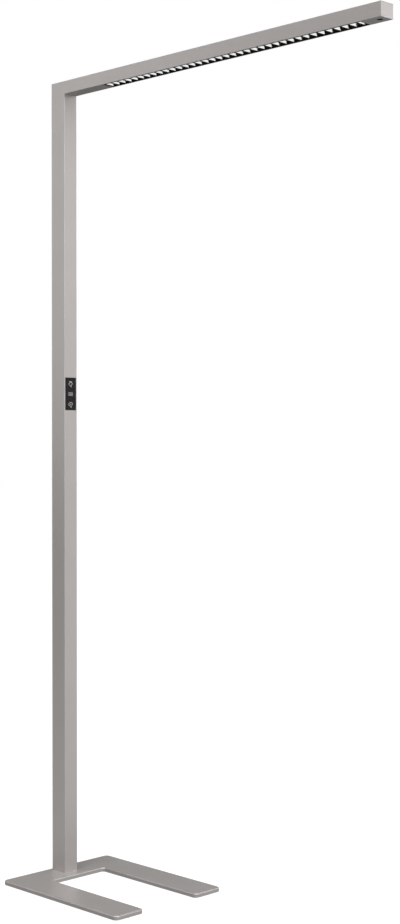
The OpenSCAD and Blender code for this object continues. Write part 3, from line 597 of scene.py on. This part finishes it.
def row_tree():
    """Geometry nodes that set domes of one size in a row."""
    tree = bpy.data.node_groups.new("row_of_domes", "GeometryNodeTree")
    face = tree.interface
    face.new_socket("Geometry", in_out="OUTPUT", socket_type="NodeSocketGeometry")
    sockets = {
        "Count": "NodeSocketInt",
        "Start": "NodeSocketVector",
        "Step": "NodeSocketVector",
        "Dome size": "NodeSocketVector",
        "Finish": "NodeSocketMaterial",
    }
    for name, kind in sockets.items():
        face.new_socket(name, in_out="INPUT", socket_type=kind)
    inputs = tree.nodes.new("NodeGroupInput")
    outputs = tree.nodes.new("NodeGroupOutput")
    line = tree.nodes.new("GeometryNodeMeshLine")
    dome = tree.nodes.new("GeometryNodeMeshUVSphere")
    dome.inputs["Segments"].default_value = DOME_SEGMENTS
    dome.inputs["Rings"].default_value = DOME_RINGS
    dome.inputs["Radius"].default_value = 1.0
    sized = tree.nodes.new("GeometryNodeTransform")
    placed = tree.nodes.new("GeometryNodeInstanceOnPoints")
    real = tree.nodes.new("GeometryNodeRealizeInstances")
    coated = tree.nodes.new("GeometryNodeSetMaterial")
    links = tree.links
    links.new(inputs.outputs["Count"], line.inputs["Count"])
    links.new(inputs.outputs["Start"], line.inputs["Start Location"])
    links.new(inputs.outputs["Step"], line.inputs["Offset"])
    links.new(dome.outputs["Mesh"], sized.inputs["Geometry"])
    links.new(inputs.outputs["Dome size"], sized.inputs["Scale"])
    links.new(line.outputs["Mesh"], placed.inputs["Points"])
    links.new(sized.outputs["Geometry"], placed.inputs["Instance"])
    links.new(placed.outputs["Instances"], real.inputs["Geometry"])
    links.new(real.outputs["Geometry"], coated.inputs["Geometry"])
    links.new(inputs.outputs["Finish"], coated.inputs["Material"])
    links.new(coated.outputs["Geometry"], outputs.inputs["Geometry"])
    return tree


def set_inputs(modifier, values):
    """Sets a Geometry Nodes modifier's inputs by their sockets' identifiers."""
    for item in modifier.node_group.interface.items_tree:
        if item.in_out == "INPUT" and item.name in values:
            modifier[item.identifier] = values[item.name]


def made_plain(holder, name):
    """The evaluated geometry of an object as a plain mesh object."""
    bpy.context.view_layer.update()
    evaluated = holder.evaluated_get(bpy.context.evaluated_depsgraph_get())
    mesh = bpy.data.meshes.new_from_object(evaluated)
    bpy.data.objects.remove(holder)
    mesh.name = name
    return mesh_object(name, mesh)


def dome_row(name, node, top, tree, finish):
    """Clear domes on a row of light sources; top is True where they face up."""
    low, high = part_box(node)
    size = high.y - low.y
    count = round((high.x - low.x - size) / CELL_PITCH) + 1
    level = high.z if top else low.z
    holder = mesh_object(name + "_holder", bpy.data.meshes.new(name + "_holder"))
    modifier = holder.modifiers.new("row", "NODES")
    modifier.node_group = tree
    values = {
        "Count": count,
        "Start": (low.x + size / 2, (low.y + high.y) / 2, level),
        "Step": (CELL_PITCH, 0.0, 0.0),
        "Dome size": (DOME_RADIUS, DOME_RADIUS, DOME_RADIUS * DOME_FLATNESS),
        "Finish": finish,
    }
    set_inputs(modifier, values)
    row = made_plain(holder, name)
    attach(row, "lamp")


# ---------- studio ----------


def camera():
    """The photograph's viewpoint: its frame is upright, so the sensor's width is the long side."""
    ahead = Vector(
        (
            math.sin(CAMERA_YAW) * math.cos(CAMERA_PITCH),
            math.cos(CAMERA_YAW) * math.cos(CAMERA_PITCH),
            math.sin(CAMERA_PITCH),
        )
    )
    right = Vector((math.cos(CAMERA_YAW), -math.sin(CAMERA_YAW), 0.0))
    up = right.cross(ahead)
    turn = Matrix((right, up, -ahead)).transposed().to_4x4()
    data = bpy.data.cameras.new("photo_camera")
    data.lens = CAMERA_LENS
    data.sensor_width = CAMERA_SENSOR
    data.clip_end = CAMERA_REACH
    holder = bpy.data.objects.new("photo_camera", data)
    holder.matrix_world = Matrix.Translation(CAMERA_PLACE) @ turn
    bpy.context.scene.collection.objects.link(holder)
    bpy.context.scene.camera = holder


def seen_level(tree, seen, mirrored, unseen):
    """Brightness shown to the camera, to gloss and through glass, and to the rest."""
    path = tree.nodes.new("ShaderNodeLightPath")
    camera_ray = Shade(tree, path.outputs["Is Camera Ray"])
    gloss_ray = Shade(tree, path.outputs["Is Glossy Ray"])
    glass_ray = Shade(tree, path.outputs["Is Transmission Ray"])
    clear_ray = (gloss_ray + glass_ray).math("MINIMUM", 1.0)
    return camera_ray * seen + clear_ray * mirrored + (1 - camera_ray - clear_ray) * unseen


def faded(tree, coordinate, measure, reference, fade, levels):
    """A level that goes evenly from the first to the second while the measure crosses the fade.

    The measure is the dot product or the distance of the coordinate and the reference.
    """
    where = tree.nodes.new("ShaderNodeTexCoord").outputs[coordinate]
    measured = tree.nodes.new("ShaderNodeVectorMath")
    measured.operation = measure
    tree.links.new(where, measured.inputs[0])
    measured.inputs[1].default_value = reference
    level = tree.nodes.new("ShaderNodeMapRange")
    tree.links.new(measured.outputs["Value"], level.inputs["Value"])
    for name, value in zip(("From Min", "From Max", "To Min", "To Max"), (*fade, *levels)):
        level.inputs[name].default_value = value
    return Shade(tree, level.outputs["Result"])


def bright_side(tree, coordinate, fade, dim, bright):
    """A level that rises towards the studio's bright side."""
    return faded(tree, coordinate, "DOT_PRODUCT", BRIGHT_SIDE, fade, (dim, bright))


def clear_of_foot(tree):
    """A level that rises from the foot's own shade to the open floor."""
    return faded(tree, "Object", "DISTANCE", FOOT_CENTRE, FOOT_SHADE, (FOOT_SHADE_LEVEL, 1.0))


def studio_floor():
    """A pale floor that shows white and keeps the lamp's shadow."""
    reach = FLOOR_REACH
    mesh = bpy.data.meshes.new("studio_floor")
    corners = [(-reach, -reach, 0), (reach, -reach, 0), (reach, reach, 0), (-reach, reach, 0)]
    mesh.from_pydata(corners, [], [(0, 1, 2, 3)])
    floor = mesh_object("studio_floor", mesh)
    finish = Finish("pale_studio_floor", Base_Color=(FLOOR_DIFFUSE,) * 3, Roughness=1.0)
    finish.surface.inputs["Specular IOR Level"].default_value = 0.0
    tree = finish.tree
    glow = tree.nodes.new("ShaderNodeEmission")
    open_floor = bright_side(tree, "Object", FLOOR_FADE, FLOOR_DIM, FLOOR_BRIGHT)
    mirrored = open_floor * clear_of_foot(tree)
    feed(tree, glow.inputs["Strength"], seen_level(tree, FLOOR_SEEN, mirrored, 0.0))
    both = tree.nodes.new("ShaderNodeAddShader")
    tree.links.new(finish.surface.outputs[0], both.inputs[0])
    tree.links.new(glow.outputs[0], both.inputs[1])
    tree.links.new(both.outputs[0], finish.output.inputs["Surface"])
    mesh.materials.append(finish.material)


def studio_world():
    """Even light all round; the camera sees white, and gloss sees white that dims to one side."""
    world = bpy.data.worlds.new("studio")
    world.use_nodes = True
    bpy.context.scene.world = world
    tree = world.node_tree
    tree.nodes.clear()
    output = tree.nodes.new("ShaderNodeOutputWorld")
    light = tree.nodes.new("ShaderNodeBackground")
    light.inputs["Color"].default_value = (1.0, 1.0, 1.0, 1.0)
    mirrored = bright_side(tree, "Generated", WORLD_FADE, WORLD_DIM, WORLD_BRIGHT)
    feed(tree, light.inputs["Strength"], seen_level(tree, WORLD_SEEN, mirrored, WORLD_LEVEL))
    tree.links.new(light.outputs[0], output.inputs["Surface"])


def soft_box(name, place, target, size, power):
    """A rectangular lamp with a soft cloth, aimed at a point."""
    data = bpy.data.lights.new(name, "AREA")
    data.shape = "RECTANGLE"
    data.size, data.size_y = size
    data.energy = power
    lamp = bpy.data.objects.new(name, data)
    way = Vector(target) - Vector(place)
    lamp.rotation_euler = way.to_track_quat("-Z", "Y").to_euler()
    lamp.location = place
    lamp.visible_camera = False
    bpy.context.scene.collection.objects.link(lamp)


def studio_lamps():
    """All the lamps of the studio."""
    for name, (place, target, size, power) in LAMPS.items():
        soft_box(name, place, target, size, power)


def main():
    """Dresses the frame, adds the scene's own pieces and sets up the studio."""
    bpy.context.scene.view_settings.view_transform = "Standard"
    by_slot = finishes()
    dress_nodes(by_slot)
    print_finish = sign_print()
    key_sign("upper_key_sign", up_sign(), "key_upper", "upper_key", print_finish)
    key_sign("middle_key_sign", steady_sign(), "key_middle", "middle_key", print_finish)
    key_sign("lower_key_sign", down_sign(), "key_lower", "lower_key", print_finish)
    tree = row_tree()
    dome_row("downlight_domes", "downlight_leds", False, tree, by_slot["light_source"])
    dome_row("uplight_domes", "uplight_leds", True, tree, by_slot["light_source"])
    camera()
    studio_floor()
    studio_world()
    studio_lamps()


main()
